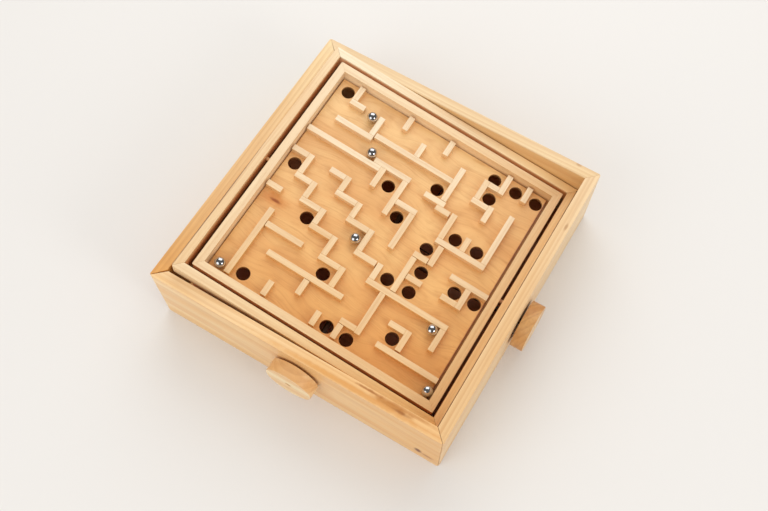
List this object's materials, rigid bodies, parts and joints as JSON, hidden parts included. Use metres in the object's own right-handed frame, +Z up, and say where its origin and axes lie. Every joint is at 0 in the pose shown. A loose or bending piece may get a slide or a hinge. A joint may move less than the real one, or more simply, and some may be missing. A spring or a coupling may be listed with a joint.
{
  "type": "tilt maze game",
  "caption": "Square wooden box game: two knobs tilt a nested ring and frame that carry a maze board with holes, strips and loose steel balls.",
  "frame": {"origin": "centre of the box's underside, on the surface it stands on", "axes": "+Z up; -Y is the side with the front knob, +X the side with the right knob"},
  "size_m": [0.3148, 0.3148, 0.0943],
  "materials": {
    "pine": "clear matt varnish",
    "beech": "clear matt varnish",
    "plywood": "clear satin varnish",
    "ball_steel": "polished",
    "brass": "plain",
    "thread": "waxed cord"
  },
  "bodies": {
    "box": {"box_front": "pine", "box_back": "pine", "box_left": "pine", "box_right": "pine", "base_panel": "plywood", "eye_left": "brass", "eye_right": "brass", "eye_front": "brass", "eye_back": "brass", "ring_string": "thread", "frame_string": "thread", "string_end_left": "thread", "string_end_right": "thread", "string_end_front": "thread", "string_end_back": "thread"},
    "ring": {"ring_rail_front": "beech", "ring_rail_back": "beech", "ring_rail_left": "beech", "ring_rail_right": "beech", "ring_pin_front": "beech", "ring_pin_back": "beech", "board_pin_left": "beech", "board_pin_right": "beech"},
    "frame": {"frame_rail_front": "beech", "frame_rail_back": "beech", "frame_rail_left": "beech", "frame_rail_right": "beech", "maze_board": "plywood", "wall_back_left_hook": "beech", "wall_back_stub_a": "beech", "wall_back_stub_b": "beech", "wall_back_right_steps": "beech", "wall_back_stub_c": "beech", "wall_upper_run": "beech", "wall_right_cell": "beech", "wall_centre_column": "beech", "wall_lower_run": "beech", "wall_middle_zigzag": "beech", "wall_upper_left_run": "beech", "wall_left_zigzag": "beech", "wall_left_stub": "beech", "wall_left_gate": "beech", "wall_front_stub_a": "beech", "wall_front_stub_b": "beech", "wall_right_hook": "beech", "wall_lower_hook": "beech", "wall_right_rail": "beech"},
    "front_knob": {"front_knob": "pine", "front_axle": "beech"},
    "right_knob": {"right_knob": "pine", "right_axle": "beech"},
    "ball_1": {"ball_1": "ball_steel"},
    "ball_2": {"ball_2": "ball_steel"},
    "ball_3": {"ball_3": "ball_steel"},
    "ball_4": {"ball_4": "ball_steel"},
    "ball_5": {"ball_5": "ball_steel"},
    "ball_6": {"ball_6": "ball_steel"}
  },
  "joints": [
    {"name": "ring_tilt", "type": "hinge", "parent": "box", "child": "ring", "pos_m": [0.001, 0.001, 0.068], "axis": [0, 1, 0], "range_deg": [-15.6, 0.4], "deforming": ["string_end_left", "string_end_right", "string_end_front", "string_end_back"]},
    {"name": "board_tilt", "type": "hinge", "parent": "ring", "child": "frame", "pos_m": [0.001, 0.001, 0.068], "axis": [0.9912, 0, -0.1323], "range_deg": [-5.2, 3.4], "deforming": ["string_end_front", "string_end_back"]},
    {"name": "front_knob_turn", "type": "hinge", "parent": "box", "child": "front_knob", "pos_m": [0.0025, 0, 0.047], "axis": [0, 1, 0], "range_deg": [-640, 20]},
    {"name": "right_knob_turn", "type": "hinge", "parent": "box", "child": "right_knob", "pos_m": [0, -0.002, 0.037], "axis": [1, 0, 0], "range_deg": [-200, 130]},
    {"name": "ball_1_lift", "type": "slide", "parent": "frame", "child": "ball_1", "axis": [0.1322, -0.0157, 0.9911], "range_m": [0, 0.03]},
    {"name": "ball_2_lift", "type": "slide", "parent": "frame", "child": "ball_2", "axis": [0.1322, -0.0157, 0.9911], "range_m": [0, 0.03]},
    {"name": "ball_3_lift", "type": "slide", "parent": "frame", "child": "ball_3", "axis": [0.1322, -0.0157, 0.9911], "range_m": [0, 0.03]},
    {"name": "ball_4_lift", "type": "slide", "parent": "frame", "child": "ball_4", "axis": [0.1322, -0.0157, 0.9911], "range_m": [0, 0.03]},
    {"name": "ball_5_lift", "type": "slide", "parent": "frame", "child": "ball_5", "axis": [0.1322, -0.0157, 0.9911], "range_m": [0, 0.03]},
    {"name": "ball_6_lift", "type": "slide", "parent": "frame", "child": "ball_6", "axis": [0.1322, -0.0157, 0.9911], "range_m": [0, 0.03]}
  ],
  "couplings": [
    {"joint": "front_knob_turn", "follows": "ring_tilt", "ratio": 40.2},
    {"joint": "right_knob_turn", "follows": "board_tilt", "ratio": 36.6}
  ]
}
